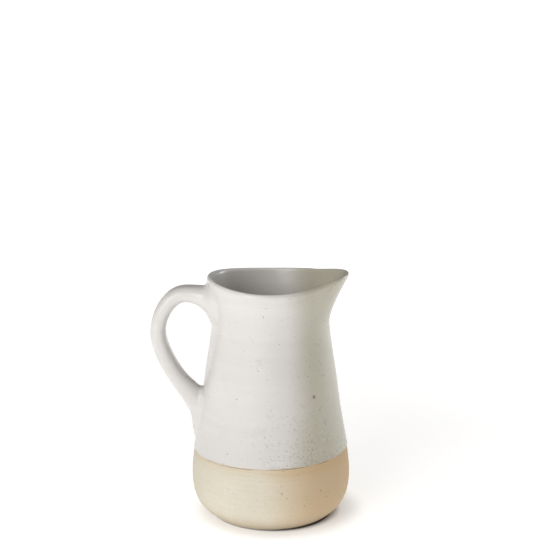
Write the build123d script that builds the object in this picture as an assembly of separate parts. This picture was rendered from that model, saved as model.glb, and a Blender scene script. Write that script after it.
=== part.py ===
from build123d import *
import math
import os

# A wheel-thrown stoneware pitcher, in millimetres.
# The origin is the centre of the foot, on the surface that the pitcher stands on. +Z is up,
# the handle is towards -X and the spout towards +X.
# The clay body and the pulled handle are two pieces, joined by slip at two places.
# A white glaze coats the outside down to the glaze line, the inside is lined with it, and the
# lower part of the body is bare clay.

# Outside of the clay body, without its glaze: radii, and the heights that they are at
foot_radius = 58.5
heel_radius = 74.3
heel_height = 14.0
belly_radius = 80.7
belly_height = 47.0
neck_radius = 58.8
neck_below_rim = 34.5
rim_radius = 63.2
rim_height = 241.5  # at its lowest
flare_above_rim = 18.0  # how far the wall is drawn past the rim before the rim is cut
flare_opening = 1.7  # how much more it opens there

# Which way the wall sets off from the foot and from the floor inside, and arrives past the rim,
# and how firmly it keeps to that
foot_direction = (1, 0, 0.6)
floor_direction = (1, 0, 0)
flare_direction = (0.25, 0, 1)
firmness = (1.0, 0.2)  # at the bottom, at the top

# Points between those, as shares of the way up and in from the belly to the neck, and of the
# way up and out from the neck to the rim
side_shape = ((0.205, 0.19), (0.39, 0.43), (0.58, 0.615), (0.77, 0.82))  # up, in
throat_shape = ((0.52, 0.32),)  # up, out

# The rim dips halfway between the handle and the spout, and rises to both
rim_rise_at_handle = 6.5
rim_rise_at_spout = 10.0
saddle_margin = 20.0  # how far its curve is drawn past the rim

# The pulled spout
spout_reach = 14.5  # past the round rim
spout_below_rim = 39.5  # where it starts
spout_half_angle = 42.0  # degrees
spout_swell = 1.25  # how late on the way up it opens, as a power
spout_pinch = 1.7  # how narrow it is pulled, as a power

# The wall is drawn through rings of points, at shares of the way up to the spout and above it
ring_points = 24
rings_below_spout = (0, 0.012, 0.03, 0.06, 0.1, 0.16, 0.24, 0.34, 0.46, 0.58, 0.7, 0.85)
rings_above_spout = (0, 0.16, 0.33, 0.5, 0.67, 0.84, 1)

# Walls and coats
clay_wall = 4.6
base_thickness = 8.0
floor_radius = 44.0  # flat part of the floor inside
inner_heel_radius = 68.5
inner_heel_height = 19.0
foot_ring_width = 9.0
foot_recess_depth = 2.0
glaze_thickness = 0.6
slip_thickness = 0.5
glaze_line_height = 70.7
glaze_line_tilt = 0.9  # degrees, lower at the handle

# Handle, a pulled strap of oval section, flared where it joins the neck
strap_width = 26.0
strap_thickness = 17.0
arch_below_rim = 12.0  # the strap's middle at the top of its arch
arch_start = 20.0  # from the neck's wall to where the flare has become the strap
grip_reach = 113.6  # from the pitcher's axis to the strap's middle, at the widest
grip_below_rim = 51.0
upper_root_below_rim = 22.0
upper_root_width = 50.0
upper_root_thickness = 37.0
lower_root_height = 117.0
tail_end_height = 77.0
tail_width = 29.0

# The strap's shape between those places, as shares of the way from each to the next
# Upper root: out, up, flare
upper_root_shape = (
    (-0.5, 0, 1.2),
    (0, 0.03, 0.95),
    (0.25, 0.35, 0.52),
    (0.6, 0.78, 0.15),
    (1, 0.95, 0.02),
)
arch_shape = ((0.27, 0.0), (0.7, 0.27), (0.94, 0.68), (1, 1))  # out, down
return_shape = ((0.11, 0.25), (0.40, 0.53), (0.76, 0.79), (1, 1))  # in, down

# The tail: how far down it is, how far its middle stands out and how thick it is as shares of the
# strap's thickness, and its width as a share of its widest
tail_shape = ((0.43, 0.08, 0.82, 1.0), (0.71, 0.0, 0.58, 1.0), (1, -0.2, 0.33, 0.7))

# Heights that follow the rim
neck_height = rim_height - neck_below_rim
spout_start_height = rim_height - spout_below_rim
arch_height = rim_height - arch_below_rim
grip_height = rim_height - grip_below_rim
upper_root_height = rim_height - upper_root_below_rim

far = 400.0  # larger than the pitcher
halvings = 40  # when a height is looked for on a curve


def upper_points(inset):
    """The outline from the belly to past the rim, moved in by inset."""
    neck_in, neck_up = belly_radius - neck_radius, neck_height - belly_height
    rim_out, rim_up = rim_radius - neck_radius, rim_height - neck_height
    points = [(belly_radius, belly_height)]
    points += [(belly_radius - share * neck_in, belly_height + up * neck_up) for up, share in side_shape]
    points.append((neck_radius, neck_height))
    points += [(neck_radius + out * rim_out, neck_height + up * rim_up) for up, out in throat_shape]
    points.append((rim_radius, rim_height))
    opened = flare_opening * flare_above_rim * rim_out / rim_up
    points.append((rim_radius + opened, rim_height + flare_above_rim))
    return [Vector(radius - inset, 0, height) for radius, height in points]


def wall_curve(points, direction):
    """A smooth curve up through the points, setting off in a direction."""
    return Spline(*points, tangents=[direction, flare_direction], tangent_scalars=firmness)


def outer_curve(grow):
    """The outside in the XZ plane, from the foot up, grown by grow."""
    foot = Vector(foot_radius + grow, 0, 0)
    heel = Vector(heel_radius + grow, 0, heel_height)
    return wall_curve([foot, heel, *upper_points(-grow)], foot_direction)


def inner_curve(lining):
    """The inside in the XZ plane, from the floor up, narrowed by the lining's thickness."""
    floor_edge = Vector(floor_radius, 0, base_thickness + lining)
    heel = Vector(inner_heel_radius - lining, 0, inner_heel_height + lining / 2)
    return wall_curve([floor_edge, heel, *upper_points(clay_wall + lining)], floor_direction)


def radius_at(curve, height):
    """The radius that a wall curve has at a height."""
    low, high = 0.0, 1.0
    for _ in range(halvings):
        middle = (low + high) / 2
        if (curve @ middle).Z < height:
            low = middle
        else:
            high = middle
    return (curve @ low).X


def spout_bulge(angle, height):
    """How far the wall is pulled out towards the spout, at an angle from +X in degrees."""
    up = (height - spout_start_height) / (rim_height + rim_rise_at_spout - spout_start_height)
    across = min(abs(angle) / spout_half_angle, 1.0)
    narrowed = math.cos(across * math.pi / 2) ** spout_pinch
    return spout_reach * max(up, 0.0) ** spout_swell * narrowed


def ring(curve, height):
    """One closed section of the wall."""
    radius = radius_at(curve, height)
    points = []
    for step in range(ring_points):
        angle = step * 360 / ring_points - 180
        reach = radius + spout_bulge(angle, height)
        turn = math.radians(angle)
        points.append((reach * math.cos(turn), reach * math.sin(turn), height))
    return Face(Wire([Spline(*points, periodic=True)]))


def filled(curve):
    """The solid inside a wall curve, with the spout."""
    bottom, top = (curve @ 0).Z, (curve @ 1).Z
    heights = [bottom + share * (spout_start_height - bottom) for share in rings_below_spout]
    heights += [spout_start_height + share * (top - spout_start_height) for share in rings_above_spout]
    return loft([ring(curve, height) for height in heights])


def under_rim(raised):
    """Everything below the rim's saddle, which runs straight across from front to back."""
    left = -rim_radius - saddle_margin
    right = rim_radius + spout_reach + saddle_margin
    rise_left = rim_rise_at_handle * (left / rim_radius) ** 2
    rise_right = rim_rise_at_spout * (right / (rim_radius + spout_reach)) ** 2
    height = rim_height + raised
    crest = Spline(
        (left, 0, height + rise_left),
        (-rim_radius, 0, height + rim_rise_at_handle),
        (0, 0, height),
        (rim_radius + spout_reach, 0, height + rim_rise_at_spout),
        (right, 0, height + rise_right),
    )
    start, end = crest @ 0, crest @ 1
    rest = Polyline(end, (end.X, 0, -far), (start.X, 0, -far), start)
    return extrude(make_face([crest, rest]), far, dir=(0, 1, 0), both=True)


def above_glaze_line():
    """Everything above the slanted line where the dipped glaze ends."""
    block = Pos(0, 0, far / 2) * Box(2 * far, 2 * far, far)
    return Pos(0, 0, glaze_line_height) * Rot(0, -glaze_line_tilt, 0) * block


def handle_stations(wall):
    """The strap from its upper root to the end of its tail: points, thicknesses and widths."""
    neck = radius_at(wall, upper_root_height)
    rise = arch_height - upper_root_height
    stations = []
    for out, up, flare in upper_root_shape:
        point = (-neck - out * arch_start, 0, upper_root_height + up * rise)
        thick = strap_thickness + flare * (upper_root_thickness - strap_thickness)
        wide = strap_width + flare * (upper_root_width - strap_width)
        stations.append((point, thick, wide))

    arch = neck + arch_start
    for out, down in arch_shape:
        x = -arch - out * (grip_reach - arch)
        z = arch_height - down * (arch_height - grip_height)
        stations.append(((x, 0, z), strap_thickness, strap_width))

    lower_root = radius_at(wall, lower_root_height) + strap_thickness / 2
    for inward, down in return_shape:
        x = -grip_reach + inward * (grip_reach - lower_root)
        z = grip_height - down * (grip_height - lower_root_height)
        stations.append(((x, 0, z), strap_thickness, strap_width))

    for down, proud, thick, wide in tail_shape:
        height = lower_root_height - down * (lower_root_height - tail_end_height)
        point = (-radius_at(wall, height) - proud * strap_thickness, 0, height)
        stations.append((point, thick * strap_thickness, wide * tail_width))
    return stations


def handle_shape(wall, grow):
    """The whole strap with both its roots, grown by grow."""
    stations = handle_stations(wall)
    path = Spline(*[point for point, thick, wide in stations])
    sections = []
    for number, (point, thick, wide) in enumerate(stations):
        in_root = number < len(upper_root_shape)
        facing = (-1, 0, 0) if in_root else path % path.param_at_point(point)
        place = Plane(point, x_dir=(0, 1, 0), z_dir=facing)
        sections.append(place * Ellipse(wide / 2 + grow, thick / 2 + grow))
    return loft(sections)


def save(name, solid):
    export_step(solid, f"parts/{name}.step")


os.makedirs("parts", exist_ok=True)

outside = outer_curve(0)
inside = inner_curve(0)
clay = filled(outside) & under_rim(0)
hollow = filled(inside)
foot_recess = Cylinder(foot_radius - foot_ring_width, 2 * foot_recess_depth)
save("body", clay - hollow - foot_recess)

strap = handle_shape(outside, 0)
slipped = filled(outer_curve(slip_thickness))
save("handle", strap - slipped)
lower_slip, upper_slip = ((strap & slipped) - clay).solids().sort_by(Axis.Z)
save("lower_slip", lower_slip)
save("upper_slip", upper_slip)

coated_strap = handle_shape(outside, glaze_thickness)
save("handle_glaze", coated_strap - clay - strap)

coated = filled(outer_curve(glaze_thickness)) & under_rim(glaze_thickness)
lined = filled(inner_curve(glaze_thickness))
save("outer_glaze", (coated & above_glaze_line()) - clay - lined - coated_strap)
save("inner_glaze", (hollow & under_rim(0)) - lined)
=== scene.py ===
import math
import bpy
import numpy as np
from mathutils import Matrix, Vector
from mathutils.bvhtree import BVHTree


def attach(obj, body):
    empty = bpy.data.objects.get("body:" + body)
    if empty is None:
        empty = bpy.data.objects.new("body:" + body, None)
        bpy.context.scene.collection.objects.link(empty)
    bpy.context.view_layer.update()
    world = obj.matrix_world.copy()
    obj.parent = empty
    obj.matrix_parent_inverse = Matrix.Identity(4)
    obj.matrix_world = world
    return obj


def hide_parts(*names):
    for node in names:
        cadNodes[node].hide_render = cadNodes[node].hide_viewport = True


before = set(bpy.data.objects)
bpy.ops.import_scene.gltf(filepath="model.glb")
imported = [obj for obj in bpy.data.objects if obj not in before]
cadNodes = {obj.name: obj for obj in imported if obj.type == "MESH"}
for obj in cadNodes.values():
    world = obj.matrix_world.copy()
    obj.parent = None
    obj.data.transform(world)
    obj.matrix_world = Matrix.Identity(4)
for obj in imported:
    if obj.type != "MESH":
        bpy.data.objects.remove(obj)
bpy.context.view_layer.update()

mm = 0.001

view = {
    "place": (0.0094, -1.4592, 0.5906),
    "tiltDown": 13.4,  # degrees
    "lens": 96.43,
    "sensor": 36.0,
}


def makeCamera():
    data = bpy.data.cameras.new("camera")
    data.lens = view["lens"]
    data.sensor_width = view["sensor"]
    data.clip_start = 0.05
    camera = bpy.data.objects.new("camera", data)
    camera.location = view["place"]
    camera.rotation_euler = (math.radians(90 - view["tiltDown"]), 0, 0)
    bpy.context.scene.collection.objects.link(camera)
    bpy.context.scene.camera = camera


makeCamera()

studio = {
    "lamps": {
        "key": {"power": 21.5, "place": (-1.0, -1.45, 0.95), "size": 1.3, "color": (1.0, 0.985, 0.955)},
        "rim": {"power": 5.0, "place": (1.15, 0.55, 0.45), "size": 0.5, "color": (0.97, 0.98, 1.0)},
        "top": {"power": 6.0, "place": (-0.25, 0.05, 1.7), "size": 1.5, "color": (1.0, 1.0, 1.0)},
    },
    "lampsAim": (0, 0, 0.12),
    "sky": (1.0, 0.99, 0.975),
    "skyStrength": 0.12,
    "floorHalf": 60.0,
    "floorColor": (0.80, 0.79, 0.775),
    "floorRoughness": 0.75,
    "floorGrain": 0.4,
    # light of the floor's own, in rings round a middle: where each starts and ends
    "shadowMiddle": (0.007, 0.001, 0.0),
    "shadowRing": (0.057, 0.067),
    "shadowGlow": 0.36,  # round the foot, where the floor is shaded
    "floorRing": (0.066, 0.096),
    "floorGlow": 0.62,
    "sweepRing": (0.3, 1.3),
    "sweepGlow": 1.0,  # far behind it
    # a painted shadow: a dark ring in the floor's colour round the foot
    "contactShadowMiddle": (0.0016, -0.0006, 0.0),
    "contactShadowRing": (0.0592, 0.0625),
    "contactShadowStrength": 0.9,
    "contactShadowColor": (0.05, 0.04, 0.03),
}


def makeLamp(name, lamp):
    data = bpy.data.lights.new(name, "AREA")
    data.energy = lamp["power"]
    data.size = lamp["size"]
    data.color = lamp["color"]
    holder = bpy.data.objects.new(name, data)
    holder.location = lamp["place"]
    toLamp = Vector(lamp["place"]) - Vector(studio["lampsAim"])
    holder.rotation_euler = toLamp.to_track_quat("Z", "Y").to_euler()
    bpy.context.scene.collection.objects.link(holder)


def makeWorld():
    world = bpy.data.worlds.new("studio")
    world.use_nodes = True
    background = world.node_tree.nodes["Background"]
    background.inputs["Color"].default_value = (*studio["sky"], 1)
    background.inputs["Strength"].default_value = studio["skyStrength"]
    bpy.context.scene.world = world
    bpy.context.scene.view_settings.view_transform = "Standard"
    bpy.context.scene.view_settings.look = "None"


def addNode(tree, kind, **settings):
    node = tree.nodes.new(kind)
    for name, value in settings.items():
        setattr(node, name, value)
    return node


def feed(tree, socket, value):
    # a socket is linked, anything else is set on the input itself
    if isinstance(value, bpy.types.NodeSocket):
        tree.links.new(value, socket)
    elif value is not None:
        socket.default_value = value


def calc(tree, operation, first, second=None, third=None, clamp=False):
    node = addNode(tree, "ShaderNodeMath", operation=operation, use_clamp=clamp)
    for socket, value in zip(node.inputs, (first, second, third)):
        feed(tree, socket, value)
    return node.outputs[0]


def times(tree, product, *factors):
    for factor in factors:
        product = calc(tree, "MULTIPLY", product, factor)
    return product


def splitVector(tree, vector):
    node = addNode(tree, "ShaderNodeSeparateXYZ")
    feed(tree, node.inputs[0], vector)
    return node.outputs


def joinVector(tree, x, y, z):
    node = addNode(tree, "ShaderNodeCombineXYZ")
    for socket, value in zip(node.inputs, (x, y, z)):
        feed(tree, socket, value)
    return node.outputs[0]


def measured(tree, operation, first, second=None):
    # the length of one vector, or a distance or dot product of two
    node = addNode(tree, "ShaderNodeVectorMath", operation=operation)
    feed(tree, node.inputs[0], first)
    feed(tree, node.inputs[1], second)
    return node.outputs["Value"]


def noiseAt(tree, vector, scale, detail=2.0, roughness=0.5):
    node = addNode(tree, "ShaderNodeTexNoise")
    feed(tree, node.inputs["Vector"], vector)
    node.inputs["Scale"].default_value = scale
    node.inputs["Detail"].default_value = detail
    node.inputs["Roughness"].default_value = roughness
    return node.outputs["Fac"]


def between(tree, value, low, high, toLow=0.0, toHigh=1.0):
    # a smooth step from toLow at low to toHigh at high
    node = addNode(tree, "ShaderNodeMapRange", interpolation_type="SMOOTHSTEP")
    feed(tree, node.inputs["Value"], value)
    feed(tree, node.inputs["From Min"], low)
    feed(tree, node.inputs["From Max"], high)
    feed(tree, node.inputs["To Min"], toLow)
    feed(tree, node.inputs["To Max"], toHigh)
    return node.outputs["Result"]


def newGeometryTree(name, inputs):
    tree = bpy.data.node_groups.new(name, "GeometryNodeTree")
    tree.interface.new_socket(name="Geometry", in_out="INPUT", socket_type="NodeSocketGeometry")
    for label, kind in inputs:
        tree.interface.new_socket(name=label, in_out="INPUT", socket_type="NodeSocket" + kind)
    tree.interface.new_socket(name="Geometry", in_out="OUTPUT", socket_type="NodeSocketGeometry")
    start = addNode(tree, "NodeGroupInput")
    end = addNode(tree, "NodeGroupOutput")
    return tree, start.outputs, end.inputs[0]


def finishTree(tree, geometry, material, end):
    smooth = addNode(tree, "GeometryNodeSetShadeSmooth")
    realize = addNode(tree, "GeometryNodeRealizeInstances")
    paint = addNode(tree, "GeometryNodeSetMaterial")
    tree.links.new(geometry, smooth.inputs[0])
    tree.links.new(smooth.outputs[0], realize.inputs[0])
    tree.links.new(realize.outputs[0], paint.inputs["Geometry"])
    tree.links.new(material, paint.inputs["Material"])
    tree.links.new(paint.outputs[0], end)


def grow(name, tree, values):
    # runs a tree as a modifier and keeps what it makes as a plain mesh
    maker = bpy.data.objects.new(name + "Maker", bpy.data.meshes.new(name + "Seed"))
    bpy.context.scene.collection.objects.link(maker)
    modifier = maker.modifiers.new("make", "NODES")
    modifier.node_group = tree
    for item in tree.interface.items_tree:
        if item.in_out == "INPUT" and item.name in values:
            modifier[item.identifier] = values[item.name]
    bpy.context.view_layer.update()
    evaluated = maker.evaluated_get(bpy.context.evaluated_depsgraph_get())
    made = bpy.data.meshes.new_from_object(evaluated)
    made.name = name
    maker.modifiers.remove(modifier)
    bpy.data.objects.remove(maker)
    piece = bpy.data.objects.new(name, made)
    bpy.context.scene.collection.objects.link(piece)
    return piece


def keepPiece(piece, replaced=()):
    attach(piece, "root")
    if replaced:
        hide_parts(*replaced)


def newMaterial(name):
    material = bpy.data.materials.new(name)
    material.use_nodes = True
    tree = material.node_tree
    shader = tree.nodes["Principled BSDF"]
    place = addNode(tree, "ShaderNodeTexCoord").outputs["Object"]
    return material, tree, shader, place


def blendColors(tree, amount, first, second):
    node = addNode(tree, "ShaderNodeMix", data_type="RGBA")
    feed(tree, node.inputs["Factor"], amount)
    for socket, value in zip((node.inputs[6], node.inputs[7]), (first, second)):
        feed(tree, socket, (*value, 1) if isinstance(value, tuple) else value)
    return node.outputs[2]


def stretched(tree, vector, scale):
    node = addNode(tree, "ShaderNodeMapping")
    feed(tree, node.inputs["Vector"], vector)
    node.inputs["Scale"].default_value = scale
    return node.outputs[0]


def specksAt(tree, vector, perMetre, size, softness, keep):
    # round spots, one in each cell, of which only some are kept: 1 in a spot and 0 round it
    cells = addNode(tree, "ShaderNodeTexVoronoi", feature="F1")
    feed(tree, cells.inputs["Vector"], vector)
    cells.inputs["Scale"].default_value = perMetre
    chance = splitVector(tree, cells.outputs["Color"])
    radius = calc(tree, "MULTIPLY_ADD", chance[1], size * 0.8, size * 0.35)
    inner = calc(tree, "SUBTRACT", radius, softness)
    spot = between(tree, cells.outputs["Distance"], inner, radius, 1.0, 0.0)
    return times(tree, spot, calc(tree, "LESS_THAN", chance[0], keep))


def bumpFrom(tree, height, distance, strength, under=None):
    node = addNode(tree, "ShaderNodeBump")
    feed(tree, node.inputs["Height"], height)
    node.inputs["Distance"].default_value = distance
    node.inputs["Strength"].default_value = strength
    feed(tree, node.inputs["Normal"], under)
    return node.outputs[0]


glazeLine = {
    "height": 70.7 * mm,
    "tilt": math.tan(math.radians(0.9)),  # lower at the handle
    "waver": 1.0 * mm,
    "reach": 45 * mm,  # how far above and below it the rows of the mesh lean with it
    "wallLean": -0.11,  # the wall comes in by this much as it rises there
}

glazeLook = {
    "thick": (0.665, 0.645, 0.62),
    "thin": (0.575, 0.54, 0.49),
    "milky": (0.71, 0.695, 0.68),
    # painted shade: the darker, warmer tone of the side away from the key light
    "shadedSideTone": (0.485, 0.46, 0.365),
    "freckle": (0.34, 0.27, 0.19),
    "iron": (0.15, 0.10, 0.06),
    "edgeTan": (0.50, 0.37, 0.24),
    "roughness": 0.22,
    "roughnessVaries": 0.16,
    "specular": 0.42,
    "gloss": 0.18,
    "glossRoughness": 0.12,
    "shadedSideFrom": (24 * mm, 57 * mm),  # towards the spout
    "freckledUpTo": (2 * mm, 75 * mm),  # over the glaze line
    "freckledAcross": (-45 * mm, 45 * mm),
    "fineSpecks": {"perMetre": 330, "size": 0.13, "softness": 0.05, "keep": 0.16},
    "middleSpecks": {"perMetre": 150, "size": 0.085, "softness": 0.05, "keep": 0.16},
    "largeSpecks": {"perMetre": 62, "size": 0.034, "softness": 0.02, "keep": 0.07},
    "pit": (42.8 * mm, -52.6 * mm, 137.6 * mm),  # one burst bubble, low on the spout's side
    "pitWidth": 2.0 * mm,
    "pitRagged": 1.6 * mm,
    "peelDepth": 0.05 * mm,
    "lineDepth": 0.10 * mm,
    "poreDepth": 0.12 * mm,
    "pitDepth": 0.5 * mm,
    "outsideRadius": 76 * mm,  # between the inside and the outside, at the coat's edge
}


def heightOverLine(tree, x, z):
    level = calc(tree, "MULTIPLY_ADD", x, glazeLine["tilt"], glazeLine["height"])
    return calc(tree, "SUBTRACT", z, level)


def makeGlaze():
    look = glazeLook
    material, tree, shader, place = newMaterial("whiteGlaze")
    x, y, z = splitVector(tree, place)
    over = heightOverLine(tree, x, z)

    # the coat pools and thins in broad soft patches, and in faint bands round the pot
    clouds = noiseAt(tree, place, 14, 3)
    bands = noiseAt(tree, stretched(tree, place, (6, 6, 160)), 1.0, 3, 0.6)
    milk = calc(tree, "MULTIPLY_ADD", bands, 0.45, times(tree, clouds, 0.6))
    color = blendColors(tree, between(tree, milk, 0.35, 0.75), look["thick"], look["milky"])
    thinning = between(tree, noiseAt(tree, place, 38, 4, 0.6), 0.56, 0.78, 0.0, 0.35)
    color = blendColors(tree, thinning, color, look["thin"])

    # painted shade: warmer and darker towards the spout, on the side away from the key light, standing in
    # for its shade and warm bounced light
    cloudy = calc(tree, "MULTIPLY_ADD", clouds, 24 * mm, x)
    shadedSide = between(tree, cloudy, *look["shadedSideFrom"], 0.0, 0.95)
    color = blendColors(tree, shadedSide, color, look["shadedSideTone"])

    # freckled where it is thin: low down, and more and more towards the spout's side
    low = between(tree, over, *look["freckledUpTo"], 1.0, 0.15)
    freckled = times(tree, low, between(tree, x, *look["freckledAcross"], 0.12, 0.85))
    pores = times(tree, between(tree, noiseAt(tree, place, 480, 2, 0.6), 0.58, 0.68), freckled)
    color = blendColors(tree, pores, color, look["freckle"])
    pale = noiseAt(tree, stretched(tree, place, (1.1, 0.9, 1.0)), 430, 2)
    pale = times(tree, between(tree, pale, 0.62, 0.70, 0.0, 0.5), freckled)
    color = blendColors(tree, pale, color, look["milky"])

    # along its lower edge the coat shows tan where it feathers out on the clay
    edge = calc(tree, "MULTIPLY_ADD", noiseAt(tree, place, 190, 3, 0.6), 1.3 * mm, over)
    tan = between(tree, edge, 0.6 * mm, 2.4 * mm, 0.8, 0.0)
    patchy = between(tree, noiseAt(tree, place, 45, 2), 0.35, 0.65, 0.25, 1.0)
    fromAxis = measured(tree, "LENGTH", joinVector(tree, x, y, 0.0))
    outside = calc(tree, "GREATER_THAN", fromAxis, look["outsideRadius"])
    color = blendColors(tree, times(tree, tan, patchy, outside), color, look["edgeTan"])

    # iron specks: many fine ones and a few larger, some of them bled out soft
    fine = specksAt(tree, place, **look["fineSpecks"])
    middle = specksAt(tree, stretched(tree, place, (1.02, 0.98, 1.0)), **look["middleSpecks"])
    large = specksAt(tree, stretched(tree, place, (0.97, 1.03, 0.99)), **look["largeSpecks"])
    patchy = between(tree, noiseAt(tree, place, 22, 2), 0.35, 0.65, 0.25, 1.0)
    color = blendColors(tree, times(tree, patchy, 0.55, fine), color, look["iron"])
    color = blendColors(tree, times(tree, middle, 0.6), color, look["iron"])
    color = blendColors(tree, times(tree, large, 0.72), color, look["iron"])

    # the one larger pit, with a ragged dark edge
    toPit = measured(tree, "DISTANCE", place, look["pit"])
    toPit = calc(tree, "MULTIPLY_ADD", noiseAt(tree, place, 750, 3), look["pitRagged"], toPit)
    crater = between(tree, toPit, 0.8 * look["pitWidth"], 1.5 * look["pitWidth"], 1.0, 0.0)
    color = blendColors(tree, times(tree, crater, 0.85), color, look["iron"])
    tree.links.new(color, shader.inputs["Base Color"])

    # satin, a little drier where it is thin
    cloudy = noiseAt(tree, place, 60, 4)
    dull = calc(tree, "MULTIPLY_ADD", cloudy, look["roughnessVaries"], look["roughness"])
    dull = calc(tree, "ADD", dull, times(tree, middle, 0.3))
    tree.links.new(dull, shader.inputs["Roughness"])
    shader.inputs["Specular IOR Level"].default_value = look["specular"]
    shader.inputs["Coat Weight"].default_value = look["gloss"]
    shader.inputs["Coat Roughness"].default_value = look["glossRoughness"]

    # orange peel, throwing lines that show through, and pinholes
    normal = bumpFrom(tree, noiseAt(tree, place, 420, 2), look["peelDepth"], 0.35)
    lines = noiseAt(tree, stretched(tree, place, (9, 9, 420)), 1.0, 2)
    normal = bumpFrom(tree, lines, look["lineDepth"], 0.5, normal)
    holes = calc(tree, "MAXIMUM", calc(tree, "MAXIMUM", fine, large), pores)
    normal = bumpFrom(tree, times(tree, holes, -1.0), look["poreDepth"], 0.6, normal)
    hollow = between(tree, toPit, 0.8 * look["pitWidth"], 2.2 * look["pitWidth"], -1.0, 0.0)
    normal = bumpFrom(tree, hollow, look["pitDepth"], 0.9, normal)
    tree.links.new(normal, shader.inputs["Normal"])
    return material


clayLook = {
    "buff": (0.66, 0.615, 0.50),
    "pale": (0.745, 0.71, 0.61),
    # a warm tan: the clay's own blush and wash, and also painted shade on the side away from the key light
    "toastAndShade": (0.60, 0.425, 0.24),
    "heel": (0.50, 0.41, 0.29),
    "grit": (0.20, 0.15, 0.10),
    "roughness": 0.75,
    "roughnessVaries": 0.14,
    "specular": 0.25,
    "shadedSideFrom": (-5 * mm, 68 * mm),  # towards the spout
    "heelHeights": (5 * mm, 27 * mm),
    "blushBelow": 12 * mm,  # under the glaze line
    "fineGrit": {"perMetre": 290, "size": 0.16, "softness": 0.07, "keep": 0.22},
    "stones": {"perMetre": 105, "size": 0.075, "softness": 0.03, "keep": 0.22},
    "lineDepth": 0.22 * mm,
    "ridgeDepth": 0.40 * mm,
    "grainDepth": 0.14 * mm,
    "stoneDepth": 0.30 * mm,
}


def makeClay():
    look = clayLook
    material, tree, shader, place = newMaterial("bareClay")
    x, _, z = splitVector(tree, place)
    under = times(tree, heightOverLine(tree, x, z), -1.0)

    clouds = noiseAt(tree, place, 11, 3, 0.6)
    lines = noiseAt(tree, stretched(tree, place, (5, 5, 520)), 1.0, 3, 0.62)
    ridges = noiseAt(tree, stretched(tree, place, (4, 4, 130)), 1.0, 2)
    mottle = noiseAt(tree, place, 260, 4, 0.65)
    paleness = calc(tree, "MULTIPLY_ADD", lines, 0.25, times(tree, clouds, 0.65))
    paleness = calc(tree, "MULTIPLY_ADD", mottle, 0.25, paleness)
    color = blendColors(tree, between(tree, paleness, 0.42, 0.78), look["buff"], look["pale"])

    # painted shade: the clay is darker and warmer towards the spout, the side away from the key light; a
    # warm blush just under the coat is strongest on that side
    shadedSide = between(tree, calc(tree, "MULTIPLY_ADD", clouds, 30 * mm, x), *look["shadedSideFrom"])
    color = blendColors(tree, times(tree, shadedSide, 0.82), color, look["toastAndShade"])
    wander = calc(tree, "MULTIPLY_ADD", clouds, 24 * mm, -9 * mm)
    blush = between(tree, calc(tree, "SUBTRACT", under, wander), 0.0, look["blushBelow"], 0.5, 0.0)
    blush = times(tree, blush, calc(tree, "MULTIPLY_ADD", shadedSide, 0.75, 0.25))
    color = blendColors(tree, blush, color, look["toastAndShade"])
    heel = calc(tree, "MULTIPLY_ADD", clouds, 8 * mm, z)
    heel = between(tree, heel, *look["heelHeights"], 0.75, 0.0)
    color = blendColors(tree, heel, color, look["heel"])

    # a thin wash that ran down in shallow arcs below the coat
    lower = calc(tree, "ADD", under, 6 * mm)
    arcs = calc(tree, "MULTIPLY_ADD", noiseAt(tree, place, 9, 1), -22 * mm, lower)
    inWash = between(tree, arcs, -0.6 * mm, 0.6 * mm, 0.16, 0.0)
    color = blendColors(tree, inWash, color, look["toastAndShade"])
    washEdge = between(tree, calc(tree, "ABSOLUTE", arcs), 0.1 * mm, 0.9 * mm, 0.24, 0.0)
    color = blendColors(tree, washEdge, color, look["toastAndShade"])

    # a dark thread of iron right at the coat's edge
    thread = calc(tree, "MULTIPLY_ADD", noiseAt(tree, place, 210, 3), -0.8 * mm, under)
    thread = between(tree, thread, -0.2 * mm, 0.7 * mm, 0.75, 0.0)
    broken = between(tree, noiseAt(tree, place, 60, 2), 0.38, 0.62, 0.2, 1.0)
    color = blendColors(tree, times(tree, thread, broken), color, look["grit"])

    grit = specksAt(tree, place, **look["fineGrit"])
    stones = specksAt(tree, stretched(tree, place, (1.03, 0.97, 1.0)), **look["stones"])
    color = blendColors(tree, times(tree, grit, 0.5), color, look["grit"])
    color = blendColors(tree, times(tree, stones, 0.7), color, look["grit"])
    tree.links.new(color, shader.inputs["Base Color"])
    dull = calc(tree, "MULTIPLY_ADD", mottle, look["roughnessVaries"], look["roughness"])
    tree.links.new(dull, shader.inputs["Roughness"])
    shader.inputs["Specular IOR Level"].default_value = look["specular"]

    normal = bumpFrom(tree, lines, look["lineDepth"], 0.5)
    normal = bumpFrom(tree, ridges, look["ridgeDepth"], 0.4, normal)
    normal = bumpFrom(tree, mottle, look["grainDepth"], 0.6, normal)
    pits = times(tree, calc(tree, "MAXIMUM", grit, stones), -1.0)
    normal = bumpFrom(tree, pits, look["stoneDepth"], 0.8, normal)
    tree.links.new(normal, shader.inputs["Normal"])
    return material


def grainy(tree, place, color, grain):
    # one colour with a faint grain
    darker = tuple(0.88 * part for part in color)
    return blendColors(tree, noiseAt(tree, place, grain, 2), darker, color)


def makeFleck(name, color, roughness, grain):
    material, tree, shader, place = newMaterial(name)
    tree.links.new(grainy(tree, place, color, grain), shader.inputs["Base Color"])
    shader.inputs["Roughness"].default_value = roughness
    return material


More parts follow.
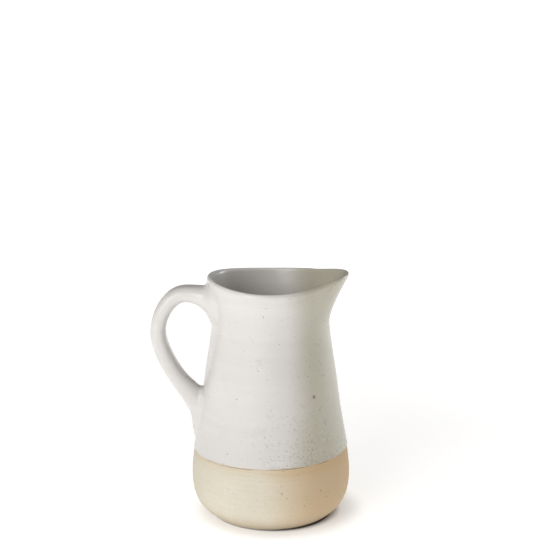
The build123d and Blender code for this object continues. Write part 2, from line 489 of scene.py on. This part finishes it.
def makeFloorPaint():
    # pale paint, with light of its own that grows away from the pot and towards the far end
    material, tree, shader, place = newMaterial("paleFloor")
    away = measured(tree, "DISTANCE", place, studio["shadowMiddle"])
    shaded = between(tree, away, *studio["shadowRing"], 0.0, studio["shadowGlow"])
    near = between(tree, away, *studio["floorRing"], shaded, studio["floorGlow"])
    glow = between(tree, away, *studio["sweepRing"], near, studio["sweepGlow"])

    # painted shadow: a dark ring in the floor's colour round the foot, for the shade in the crevice under it
    fromFoot = measured(tree, "DISTANCE", place, studio["contactShadowMiddle"])
    dark = between(tree, fromFoot, *studio["contactShadowRing"], studio["contactShadowStrength"], 0.0)
    paint = grainy(tree, place, studio["floorColor"], studio["floorGrain"])
    paint = blendColors(tree, dark, paint, studio["contactShadowColor"])
    tree.links.new(paint, shader.inputs["Base Color"])
    shader.inputs["Roughness"].default_value = studio["floorRoughness"]
    shader.inputs["Emission Color"].default_value = (1, 1, 1, 1)
    tree.links.new(glow, shader.inputs["Emission Strength"])
    return material


pot = {
    # heights, in millimetres, at which the wall's radius is measured
    "outsideSamples": (3, 7, 14, 24, 36, 47, 62, 80, 105, 130, 155, 180, 195, 207, 220, 232),
    "insideSamples": (13, 19, 28, 47, 70, 100, 130, 160, 185, 207, 222, 234),
    "rimDip": 241.5,  # the clay's rim, at its lowest
    "lipRound": 2.2,
    "lipPoints": 15,
    "floorHeight": 8.0,
    "floorFlat": 40.0,
    "floorPoints": 9,
    "footRing": 9.0,
    "footRecess": 2.0,
    "wallStart": 0.9,  # the wall starts this high, above the foot's rounded edge
    # the foot's rounded edges: out from its outer and its inner radius, and up
    "footOuterEdge": ((0.9, 0.45), (0.1, 0.12), (-0.9, 0.0), (-3.0, 0.0)),
    "footInnerEdge": ((1.6, 0.0), (0.5, 0.2), (0.0, 0.8), (-0.4, 1.8), (-1.4, 2.0)),
    "spoutReach": 14.5,
    "spoutStart": 202.0,
    "spoutSwell": 1.25,  # how late on the way up it opens, as a power
    "spoutPinch": 1.7,  # how narrow it is pulled, as a power
    "spoutHalfAngle": 42.0,
    "spoutRise": 10.0,
    "handleRise": 6.5,
    "ringDepth": 0.16,  # marks of the fingers
    "ringsPerMetre": 150.0,
    "ringClimb": 0.35,  # to a radian
    "wobble": 0.5,
    "smoothFloor": (10, 45),  # radii, no marks within the first and all of them past the second
    "segments": 240,
    "insideRows": 90,
    "outsideRows": 140,
}

coat = {
    "thickness": 0.6,
    "bead": 0.95,  # where it gathers at its lower edge
    "beadReach": 2.4,
    "roll": 1.1,  # how far from its edge it starts to round over
    "buried": 0.12,  # its back lies this deep in the clay
    "edgeRows": 26,
}


def surfaceOf(piece):
    places = [vertex.co for vertex in piece.data.vertices]
    return BVHTree.FromPolygons(places, [tuple(face.vertices) for face in piece.data.polygons])


cadWall = surfaceOf(cadNodes["body"])


def castRadius(surface, height, inside=False, toward=(0, 1, 0)):
    # a wall's radius, by default on the +Y side, where there is neither a handle nor a spout
    outward = Vector(toward).normalized()
    start = Vector((0, 0, height)) + (Vector() if inside else outward)
    point = surface.ray_cast(start, outward if inside else -outward)[0]
    return math.hypot(point.x, point.y) if point else 0.0


def lengthsAlong(points):
    # the length from each point to the next
    return np.linalg.norm(np.diff(points, axis=0), axis=1)


def smoothThrough(points, count):
    # a natural cubic spline through the points, by the length between them
    points = np.array(points, float)
    step = lengthsAlong(points)
    along = np.concatenate(([0], np.cumsum(step)))
    size = len(points)
    matrix = np.eye(size)
    right = np.zeros((size, points.shape[1]))
    for i in range(1, size - 1):
        matrix[i, i - 1:i + 2] = step[i - 1], 2 * (step[i - 1] + step[i]), step[i]
        right[i] = 6 * ((points[i + 1] - points[i]) / step[i] - (points[i] - points[i - 1]) / step[i - 1])
    bend = np.linalg.solve(matrix, right)
    where = np.linspace(0, along[-1], count)
    k = np.clip(np.searchsorted(along, where, side="right") - 1, 0, size - 2)
    h, a, b = step[k][:, None], (along[k + 1] - where)[:, None], (where - along[k])[:, None]
    return (
        bend[k] * a ** 3 / (6 * h) + bend[k + 1] * b ** 3 / (6 * h)
        + (points[k] / h - bend[k] * h / 6) * a + (points[k + 1] / h - bend[k + 1] * h / 6) * b
    )


def clayProfile():
    # radius and height of the clay, from the middle of the floor inside to the middle underneath
    rim = pot["rimDip"] * mm
    outer = [(castRadius(cadWall, height * mm), height * mm) for height in pot["outsideSamples"]]
    inner = [(castRadius(cadWall, height * mm, True), height * mm) for height in pot["insideSamples"]]
    opening = (outer[-1][0] - outer[-2][0]) / (outer[-1][1] - outer[-2][1])
    outer.append((outer[-1][0] + opening * (rim - outer[-1][1]), rim))
    inner.append((inner[-1][0] + opening * (rim - inner[-1][1]), rim))
    foot = castRadius(cadWall, 0.3 * mm) - 0.2 * mm

    floor = pot["floorHeight"] * mm
    lipStart = rim - pot["lipRound"] * mm
    inside = smoothThrough([(pot["floorFlat"] * mm, floor)] + inner, pot["insideRows"])
    inside = inside[inside[:, 1] < lipStart]
    outside = smoothThrough([(foot, 0.0)] + outer, pot["outsideRows"])[::-1]
    outside = outside[outside[:, 1] < lipStart]
    outside = outside[outside[:, 1] > pot["wallStart"] * mm]

    radii = np.linspace(0, pot["floorFlat"] * mm, pot["floorPoints"])[:-1]
    flat = np.column_stack((radii, np.full(len(radii), floor)))
    left, right = inside[-1], outside[0]
    middle, half = (left + right) / 2, (right[0] - left[0]) / 2
    turn = np.radians(np.linspace(180, 0, pot["lipPoints"]))[1:-1]
    rise = rim - middle[1]
    lip = np.column_stack((middle[0] + half * np.cos(turn), middle[1] + rise * np.sin(turn)))

    ring = foot - pot["footRing"] * mm
    recess = pot["footRecess"] * mm
    under = [(foot + out * mm, up * mm) for out, up in pot["footOuterEdge"]]
    under += [(ring + out * mm, up * mm) for out, up in pot["footInnerEdge"]]
    under += [(ring * share, recess) for share in (0.9, 0.75, 0.6, 0.45, 0.3, 0.15, 0.0)]
    return np.vstack((flat, inside, lip, outside, under))


def outwardNormals(profile):
    along = np.gradient(profile, axis=0)
    along /= np.linalg.norm(along, axis=1)[:, None]
    return np.column_stack((-along[:, 1], along[:, 0]))


def coatProfile(clay):
    # the glaze on the clay: over the floor, up the inside, over the lip and down to its line
    lip = int(np.argmax(clay[:, 1]))
    edge = lip + int(np.argmax(clay[lip:, 1] < glazeLine["height"]))
    covered = clay[:edge + 1].copy()
    above, below = clay[edge - 1], clay[edge]
    share = (above[1] - glazeLine["height"]) / (above[1] - below[1])
    covered[-1] = above + share * (below - above)
    covered = np.vstack((covered[:-3], smoothThrough(covered[-3:], coat["edgeRows"])))
    normals = outwardNormals(covered)
    normals[0] = (0, 1)

    toEdge = np.concatenate((np.cumsum(lengthsAlong(covered[::-1]))[::-1], [0]))
    bead = (coat["bead"] - coat["thickness"]) * mm
    thickness = coat["thickness"] * mm + bead * np.exp(-(toEdge / (coat["beadReach"] * mm)) ** 2)
    toRoll = np.clip(toEdge / (coat["roll"] * mm), 0, 1)
    rounding = np.sqrt(np.clip(1 - (1 - toRoll) ** 2, 0, 1))
    front = covered + normals * (thickness * rounding)[:, None]
    everyThird = [*range(len(covered) - 1, 0, -3), 0]
    back = (covered - normals * coat["buried"] * mm)[everyThird]
    front[0, 0] = back[-1, 0] = 0
    return np.vstack((front, back))


def profileObject(name, profile):
    curve = bpy.data.curves.new(name, "CURVE")
    curve.dimensions = "3D"
    spline = curve.splines.new("POLY")
    spline.points.add(len(profile) - 1)
    for point, (radius, height) in zip(spline.points, profile):
        point.co = (radius, 0, height, 1)
    holder = bpy.data.objects.new(name, curve)
    bpy.context.scene.collection.objects.link(holder)
    return holder


def throwingTree():
    # turns a profile round the axis, then pulls the spout, lifts the rim and leaves throwing marks
    tree, given, end = newGeometryTree("throwPot", [
        ("Profile", "Object"), ("Rows", "Int"), ("Segments", "Int"), ("Material", "Material"),
        ("Spout Reach", "Float"), ("Spout Start", "Float"), ("Spout Half Angle", "Float"),
        ("Spout Swell", "Float"), ("Spout Pinch", "Float"), ("Spout Rise", "Float"),
        ("Rim Height", "Float"), ("Rim Radius", "Float"), ("Handle Rise", "Float"), ("Flare", "Float"),
        ("Line Height", "Float"), ("Line Tilt", "Float"), ("Line Waver", "Float"),
        ("Ring Depth", "Float"), ("Wobble", "Float"),
    ])
    grid = addNode(tree, "GeometryNodeMeshGrid")
    feed(tree, grid.inputs["Vertices X"], given["Rows"])
    feed(tree, grid.inputs["Vertices Y"], calc(tree, "ADD", given["Segments"], 1))
    position = addNode(tree, "GeometryNodeInputPosition").outputs[0]
    across, around, _ = splitVector(tree, position)
    lastRow = calc(tree, "SUBTRACT", given["Rows"], 1)
    row = calc(tree, "ROUND", times(tree, calc(tree, "ADD", across, 0.5), lastRow))
    angle = times(tree, around, 2 * math.pi)

    # each row takes its radius and height from one point of the profile
    outline = addNode(tree, "GeometryNodeObjectInfo")
    feed(tree, outline.inputs["Object"], given["Profile"])
    pick = addNode(tree, "GeometryNodeSampleIndex", data_type="FLOAT_VECTOR", domain="POINT")
    tree.links.new(outline.outputs["Geometry"], pick.inputs["Geometry"])
    tree.links.new(position, pick.inputs["Value"])
    tree.links.new(row, pick.inputs["Index"])
    radius, _, height = splitVector(tree, pick.outputs[0])

    # the rim's rise, to the handle and to the spout
    cosine, sine = calc(tree, "COSINE", angle), calc(tree, "SINE", angle)
    offSpout = calc(tree, "ABSOLUTE", angle)
    offSpout = calc(tree, "DIVIDE", offSpout, given["Spout Half Angle"], clamp=True)
    throat = calc(tree, "COSINE", times(tree, offSpout, math.pi / 2))
    pulled = times(tree, given["Spout Reach"], calc(tree, "POWER", throat, given["Spout Pinch"]))
    nearRim = between(tree, height, given["Spout Start"], given["Rim Height"])
    side = calc(tree, "MULTIPLY_ADD", radius, cosine, times(tree, pulled, nearRim))
    toHandle = calc(tree, "DIVIDE", calc(tree, "MINIMUM", side, 0.0), given["Rim Radius"])
    spoutEnd = calc(tree, "ADD", given["Rim Radius"], given["Spout Reach"])
    toSpout = calc(tree, "DIVIDE", calc(tree, "MAXIMUM", side, 0.0), spoutEnd)
    handleRise = times(tree, toHandle, toHandle, given["Handle Rise"])
    spoutRise = times(tree, toSpout, toSpout, given["Spout Rise"])
    lift = times(tree, calc(tree, "ADD", handleRise, spoutRise), nearRim)

    # the coat's line: slanted, and never quite even
    lineOff = calc(tree, "ABSOLUTE", calc(tree, "SUBTRACT", height, given["Line Height"]))
    nearLine = between(tree, lineOff, 0.0, glazeLine["reach"], 1.0, 0.0)
    waver = noiseAt(tree, joinVector(tree, cosine, sine, 0.0), 2.6, 3)
    waver = calc(tree, "SUBTRACT", waver, 0.5)
    slant = times(tree, radius, cosine, given["Line Tilt"])
    slide = calc(tree, "MULTIPLY_ADD", waver, given["Line Waver"], slant)
    slide = times(tree, slide, nearLine)
    newHeight = calc(tree, "ADD", calc(tree, "ADD", height, lift), slide)

    # the spout, pulled out more and more towards its tip
    spoutTop = calc(tree, "ADD", given["Rim Height"], given["Spout Rise"])
    spoutSpan = calc(tree, "SUBTRACT", spoutTop, given["Spout Start"])
    up = calc(tree, "DIVIDE", calc(tree, "SUBTRACT", newHeight, given["Spout Start"]), spoutSpan)
    up = calc(tree, "POWER", calc(tree, "MAXIMUM", up, 0.0), given["Spout Swell"])
    newRadius = calc(tree, "ADD", radius, times(tree, pulled, up))
    newRadius = calc(tree, "MULTIPLY_ADD", lift, given["Flare"], newRadius)
    newRadius = calc(tree, "MULTIPLY_ADD", slide, glazeLine["wallLean"], newRadius)

    # marks of the fingers: fine rings that climb as they go round, and a slow wobble
    climb = calc(tree, "MULTIPLY_ADD", angle, pot["ringClimb"] * mm, height)
    climb = times(tree, climb, pot["ringsPerMetre"])
    ringPlace = joinVector(tree, times(tree, cosine, 0.25), times(tree, sine, 0.25), climb)
    marks = times(tree, noiseAt(tree, ringPlace, 1.0, 2), given["Ring Depth"])
    slowPlace = joinVector(tree, cosine, sine, times(tree, height, 14.0))
    slow = times(tree, noiseAt(tree, slowPlace, 1.1, 1), given["Wobble"])
    inner, outer = pot["smoothFloor"]
    marked = between(tree, radius, inner * mm, outer * mm)
    dents = times(tree, calc(tree, "ADD", marks, slow), marked)
    newRadius = calc(tree, "SUBTRACT", newRadius, dents)

    newX, newY = times(tree, newRadius, cosine), times(tree, newRadius, sine)
    shape = addNode(tree, "GeometryNodeSetPosition")
    tree.links.new(grid.outputs["Mesh"], shape.inputs["Geometry"])
    tree.links.new(joinVector(tree, newX, newY, newHeight), shape.inputs["Position"])
    weld = addNode(tree, "GeometryNodeMergeByDistance")
    tree.links.new(shape.outputs[0], weld.inputs["Geometry"])
    weld.inputs["Distance"].default_value = 0.004 * mm
    finishTree(tree, weld.outputs[0], given["Material"], end)
    return tree


def throwPiece(name, tree, profile, material, rimRadius, flare, line):
    holder = profileObject(name + "Profile", profile)
    piece = grow(name, tree, {
        "Profile": holder, "Rows": len(profile), "Segments": pot["segments"], "Material": material,
        "Spout Reach": pot["spoutReach"] * mm, "Spout Start": pot["spoutStart"] * mm,
        "Spout Half Angle": math.radians(pot["spoutHalfAngle"]), "Spout Swell": pot["spoutSwell"],
        "Spout Pinch": pot["spoutPinch"], "Spout Rise": pot["spoutRise"] * mm,
        "Rim Height": pot["rimDip"] * mm, "Rim Radius": rimRadius,
        "Handle Rise": pot["handleRise"] * mm, "Flare": flare,
        "Line Height": glazeLine["height"], "Line Tilt": line[0], "Line Waver": line[1],
        "Ring Depth": pot["ringDepth"] * mm, "Wobble": pot["wobble"] * mm,
    })
    bpy.data.objects.remove(holder)
    return piece


strap = {
    "sections": 160,
    "around": 60,
    "evening": 4,  # sections to each side
    "ovalWide": 0.86,  # powers of the oval, below 1 for flatter faces
    "ovalThick": 0.80,
    "grooveDepth": 0.7,
    "grooveWidth": 0.34,  # a share of half the strap's width
    "crease": 6.0,
    "creaseStart": 5.0,  # no spreading along the middle of a face
    "buried": 0.12,
    "deepest": 1.4,  # what lies under the wall goes no deeper than this
    "plugDepth": 1.5,
    "plugSize": 0.5,  # of the ring before it
    # the sections stand upright at the upper root, and turn with the path past it
    "rootAbove": 205.0,
    "turnStart": 64.0,
    "turnLength": 20.0,
    # roots: how far the middle is out from the wall, its height, thickness and width
    "upperRoot": (
        (-10.0, 219.5, 41.0, 55.0), (0.0, 219.8, 35.0, 47.5), (5.0, 223.0, 27.0, 38.0),
        (12.0, 227.3, 20.0, 29.6), (20.0, 229.0, 17.4, 26.5),
    ),
    "lowerRoot": (
        (5.8, 118.0, 22.0, 27.6), (1.2, 101.0, 14.4, 28.4), (0.3, 89.0, 9.6, 27.0), (-2.8, 79.0, 5.6, 19.0),
    ),
    # the bow between them: how far out from the axis, height, thickness and width
    "bow": (
        (88.7, 229.2, 17.0, 26.0), (103.4, 219.0, 17.0, 26.0), (111.6, 203.0, 16.8, 26.0),
        (113.6, 190.5, 16.4, 25.8), (109.9, 172.1, 16.6, 25.4), (100.2, 151.5, 16.8, 25.4),
        (87.4, 133.2, 18.6, 26.2),
    ),
}


def strapPath():
    rootWall = castRadius(cadWall, strap["upperRoot"][0][1] * mm)
    rows = [(-rootWall / mm - out, z, thick, wide) for out, z, thick, wide in strap["upperRoot"]]
    rows += [(-out, z, thick, wide) for out, z, thick, wide in strap["bow"]]
    for out, z, thick, wide in strap["lowerRoot"]:
        rows.append((-castRadius(cadWall, z * mm) / mm - out, z, thick, wide))
    path = smoothThrough(np.array(rows) * mm, strap["sections"])
    # evened out a little between its ends
    half = strap["evening"]
    even = path.copy()
    for i in range(half, len(path) - half):
        even[i] = path[i - half:i + half + 1].mean(axis=0)
    return even


def unit(vectors):
    return vectors / np.linalg.norm(vectors, axis=1)[:, None]


def strapSections(path):
    # the strap's rings of points, before it meets the wall
    middle = path[:, :2]
    turned = np.clip((-middle[:, 0] - strap["turnStart"] * mm) / (strap["turnLength"] * mm), 0, 1)
    inRoot = middle[:, 1] > strap["rootAbove"] * mm
    turned = np.where(inRoot, turned ** 2 * (3 - 2 * turned), 1.0)
    along = unit(np.gradient(middle, axis=0))
    along = unit(along * turned[:, None] + np.array((-1.0, 0.0)) * (1 - turned[:, None]))
    across = np.column_stack((-along[:, 1], along[:, 0]))

    turn = np.arange(strap["around"]) * 2 * math.pi / strap["around"]
    rows = []
    for i in range(len(path)):
        thick, wide = path[i, 2] / 2, path[i, 3] / 2
        # an oval with flattened faces, and a shallow groove along each
        offY = wide * np.sign(np.cos(turn)) * np.abs(np.cos(turn)) ** strap["ovalWide"]
        offN = thick * np.sign(np.sin(turn)) * np.abs(np.sin(turn)) ** strap["ovalThick"]
        groove = np.exp(-(offY / (strap["grooveWidth"] * wide)) ** 2) * strap["grooveDepth"] * mm * turned[i]
        offN = offN - np.sign(offN) * np.where(np.abs(offN) > 0.3 * thick, groove, 0)
        x = middle[i, 0] + across[i, 0] * offN
        z = middle[i, 1] + across[i, 1] * offN
        rows.append(np.column_stack((x, offY, z)))
    return np.array(rows).reshape(-1, 3)


def wallUnder(points, wall):
    # the wall's own radius below each point, found by looking in from outside
    found = np.zeros(len(points))
    for i, (x, y, z) in enumerate(points):
        found[i] = castRadius(wall, z, False, (x, y, 0)) if math.hypot(x, y) < 90 * mm else 0
    return found


def meetWall(points, path, wall):
    # where the strap meets the wall it spreads into a soft crease, and dips just under the surface
    crease = strap["crease"] * mm
    centre = np.column_stack((path[:, 0], np.zeros(len(path)), path[:, 1]))
    centre = np.repeat(centre, strap["around"], axis=0)
    over = np.hypot(points[:, 0], points[:, 1]) - wallUnder(points, wall)
    normal = unit(np.column_stack((points[:, 0], points[:, 1], np.zeros(len(points)))))
    away = points - centre
    away -= normal * np.sum(away * normal, axis=1)[:, None]
    away /= np.maximum(np.linalg.norm(away, axis=1), strap["creaseStart"] * mm)[:, None]
    spread = crease * (1 - np.clip(over / crease, 0, 1)) ** 2
    points = points + away * spread[:, None]

    reach = np.hypot(points[:, 0], points[:, 1])
    radius = wallUnder(points, wall)
    sunk = np.maximum(1.2 * over, -strap["deepest"] * mm)
    wanted = radius - strap["buried"] * mm + np.where(over > 0, over, sunk)
    wanted = np.where((over >= crease) | (radius == 0), reach, wanted)
    points[:, :2] *= (wanted / reach)[:, None]
    return points


def makeHandle(wallPiece, material):
    path = strapPath()
    points = meetWall(strapSections(path), path, surfaceOf(wallPiece))

    # both ends are closed inside the clay, through a smaller ring that lies deeper
    size = strap["around"]
    plugs = []
    for ring in (points[:size], points[-size:]):
        middle = ring.mean(axis=0)
        plug = middle + strap["plugSize"] * (ring - middle)
        depth = np.hypot(ring[:, 0], ring[:, 1]).min() - strap["plugDepth"] * mm
        plug[:, :2] *= (depth / np.hypot(plug[:, 0], plug[:, 1]))[:, None]
        plugs.append(plug)
    points = np.vstack((plugs[0], points, plugs[1]))
    last = len(points) // size - 1
    faces = []
    for i in range(last):
        for j in range(size):
            k = (j + 1) % size
            faces.append((i * size + k, (i + 1) * size + k, (i + 1) * size + j, i * size + j))
    faces.append(tuple(reversed(range(size))))
    faces.append(tuple(last * size + j for j in range(size)))
    mesh = bpy.data.meshes.new("pulledHandle")
    mesh.from_pydata([tuple(point) for point in points], [], faces)
    mesh.shade_smooth()
    mesh.materials.append(material)
    piece = bpy.data.objects.new("pulledHandle", mesh)
    bpy.context.scene.collection.objects.link(piece)
    return piece


strewing = {
    "clumpScale": 26,
    "clumps": (0.42, 0.62),
    "acrossFrom": (-60 * mm, 45 * mm),  # from the handle's side to the spout's
    "across": (0.45, 1.6),  # how many there, against the middle
    "facingOut": 0.004,  # nothing lies on the inside
    "beadSides": 8,
    "beadRings": 4,
    "mostlySmall": 2.2,  # as a power
    "lengths": (0.7, 1.35),  # against their width
}


def scatterTree():
    # strews flat beads over the outside of a surface
    tree, given, end = newGeometryTree("scatterBits", [
        ("Surface", "Object"), ("Density", "Float"), ("Seed", "Int"), ("Smallest", "Float"),
        ("Largest", "Float"), ("Flatness", "Float"), ("Lowest", "Float"), ("Highest", "Float"),
        ("Line Tilt", "Float"), ("Clumping", "Float"), ("Material", "Material"),
    ])
    surface = addNode(tree, "GeometryNodeObjectInfo")
    feed(tree, surface.inputs["Object"], given["Surface"])
    points = addNode(tree, "GeometryNodeDistributePointsOnFaces")
    tree.links.new(surface.outputs["Geometry"], points.inputs["Mesh"])
    place = addNode(tree, "GeometryNodeInputPosition").outputs[0]
    x, y, z = splitVector(tree, place)
    clump = between(tree, noiseAt(tree, place, strewing["clumpScale"], 2), *strewing["clumps"])
    clump = calc(tree, "SUBTRACT", clump, 1.0)
    clump = calc(tree, "MULTIPLY_ADD", clump, given["Clumping"], 1.0)
    lean = between(tree, x, *strewing["acrossFrom"], *strewing["across"])
    feed(tree, points.inputs["Density"], times(tree, given["Density"], clump, lean))
    feed(tree, points.inputs["Seed"], given["Seed"])

    level = calc(tree, "SUBTRACT", z, times(tree, x, given["Line Tilt"]))
    above = calc(tree, "GREATER_THAN", level, given["Lowest"])
    below = calc(tree, "LESS_THAN", level, given["Highest"])
    facing = measured(tree, "DOT_PRODUCT", points.outputs["Normal"], joinVector(tree, x, y, 0.0))
    outside = calc(tree, "GREATER_THAN", facing, strewing["facingOut"])

    bead = addNode(tree, "GeometryNodeMeshUVSphere")
    bead.inputs["Segments"].default_value = strewing["beadSides"]
    bead.inputs["Rings"].default_value = strewing["beadRings"]
    bead.inputs["Radius"].default_value = 0.5
    size = addNode(tree, "FunctionNodeRandomValue", data_type="FLOAT")
    feed(tree, size.inputs[2], 0.0)
    feed(tree, size.inputs[3], 1.0)
    feed(tree, size.inputs["Seed"], given["Seed"])
    share = calc(tree, "POWER", size.outputs[1], strewing["mostlySmall"])
    span = calc(tree, "SUBTRACT", given["Largest"], given["Smallest"])
    width = calc(tree, "MULTIPLY_ADD", share, span, given["Smallest"])
    oval = addNode(tree, "FunctionNodeRandomValue", data_type="FLOAT")
    feed(tree, oval.inputs[2], strewing["lengths"][0])
    feed(tree, oval.inputs[3], strewing["lengths"][1])
    feed(tree, oval.inputs["Seed"], calc(tree, "ADD", given["Seed"], 5))
    long, tall = times(tree, width, oval.outputs[1]), times(tree, width, given["Flatness"])

    put = addNode(tree, "GeometryNodeInstanceOnPoints")
    tree.links.new(points.outputs["Points"], put.inputs["Points"])
    tree.links.new(times(tree, above, below, outside), put.inputs["Selection"])
    tree.links.new(bead.outputs["Mesh"], put.inputs["Instance"])
    tree.links.new(points.outputs["Rotation"], put.inputs["Rotation"])
    tree.links.new(joinVector(tree, width, long, tall), put.inputs["Scale"])
    finishTree(tree, put.outputs[0], given["Material"], end)
    return tree


def makeFloor():
    half = studio["floorHalf"]
    corners = [(-half, -half, 0), (half, -half, 0), (half, half, 0), (-half, half, 0)]
    mesh = bpy.data.meshes.new("floor")
    mesh.from_pydata(corners, [], [(0, 1, 2, 3)])
    mesh.materials.append(makeFloorPaint())
    floor = bpy.data.objects.new("floor", mesh)
    bpy.context.scene.collection.objects.link(floor)


makeWorld()
for lampName, lampSettings in studio["lamps"].items():
    makeLamp(lampName, lampSettings)
makeFloor()
print("studio ready")

clayLine = clayProfile()
coatLine = coatProfile(clayLine)
rimRadius = castRadius(cadWall, (pot["rimDip"] - 1.0) * mm)
handleRim = castRadius(cadWall, (pot["rimDip"] + pot["handleRise"] - 1.0) * mm, False, (-1, 0, 0))
flare = (handleRim - rimRadius) / (pot["handleRise"] * mm)
print("profiles", len(clayLine), len(coatLine), "rim", round(rimRadius, 4), "flare", round(flare, 3))

glaze, bareClay = makeGlaze(), makeClay()
thrown = throwingTree()
line, tilt = glazeLine["height"], glazeLine["tilt"]
clayBody = throwPiece("clayBody", thrown, clayLine, bareClay, rimRadius, flare, (0.0, 0.0))
glazeCoat = throwPiece("glazeCoat", thrown, coatLine, glaze, rimRadius, flare, (tilt, glazeLine["waver"]))
keepPiece(clayBody, ["body"])
keepPiece(glazeCoat, ["outer_glaze", "inner_glaze"])
print("pot thrown", len(clayBody.data.polygons), len(glazeCoat.data.polygons))

pulledHandle = makeHandle(glazeCoat, glaze)
keepPiece(pulledHandle, ["handle", "handle_glaze", "upper_slip", "lower_slip"])
print("handle pulled", len(pulledHandle.data.polygons))

# sizes in millimetres, how many to a square metre, and the heights that they keep within
top = 0.3
bits = {
    "ironSpecks": {
        "on": glazeCoat, "density": 9000.0, "seed": 11, "sizes": (0.22, 1.0), "flatness": 0.10,
        "heights": (line + 1.5 * mm, top), "clumping": 0.8, "color": (0.10, 0.065, 0.04), "dull": 0.4,
    },
    "rustSpecks": {
        "on": glazeCoat, "density": 6500.0, "seed": 12, "sizes": (0.25, 0.85), "flatness": 0.09,
        "heights": (line + 1.5 * mm, top), "clumping": 0.6, "color": (0.29, 0.19, 0.115), "dull": 0.4,
    },
    "handleSpecks": {
        "on": pulledHandle, "density": 4500.0, "seed": 13, "sizes": (0.22, 0.8), "flatness": 0.10,
        "heights": (line, top), "clumping": 0.6, "color": (0.13, 0.085, 0.05), "dull": 0.4,
    },
    "edgeSpecks": {
        "on": glazeCoat, "density": 60000.0, "seed": 14, "sizes": (0.3, 1.1), "flatness": 0.14,
        "heights": (line - 1.5 * mm, line + 1.3 * mm), "clumping": 0.9, "color": (0.12, 0.075, 0.045),
        "dull": 0.5,
    },
    "clayPits": {
        "on": clayBody, "density": 7000.0, "seed": 15, "sizes": (0.25, 1.15), "flatness": 0.07,
        "heights": (3 * mm, line), "clumping": 0.7, "color": (0.10, 0.07, 0.045), "dull": 0.9,
    },
    "clayGrog": {
        "on": clayBody, "density": 16000.0, "seed": 16, "sizes": (0.3, 0.9), "flatness": 0.22,
        "heights": (3 * mm, line), "clumping": 0.3, "color": (0.55, 0.43, 0.30), "dull": 0.85,
    },
}
scatter = scatterTree()
for name, bit in bits.items():
    piece = grow(name, scatter, {
        "Surface": bit["on"], "Density": bit["density"], "Seed": bit["seed"],
        "Smallest": bit["sizes"][0] * mm, "Largest": bit["sizes"][1] * mm, "Flatness": bit["flatness"],
        "Lowest": bit["heights"][0], "Highest": bit["heights"][1], "Line Tilt": tilt,
        "Clumping": bit["clumping"], "Material": makeFleck(name + "Look", bit["color"], bit["dull"], 300),
    })
    keepPiece(piece)
    print(name, len(piece.data.polygons))
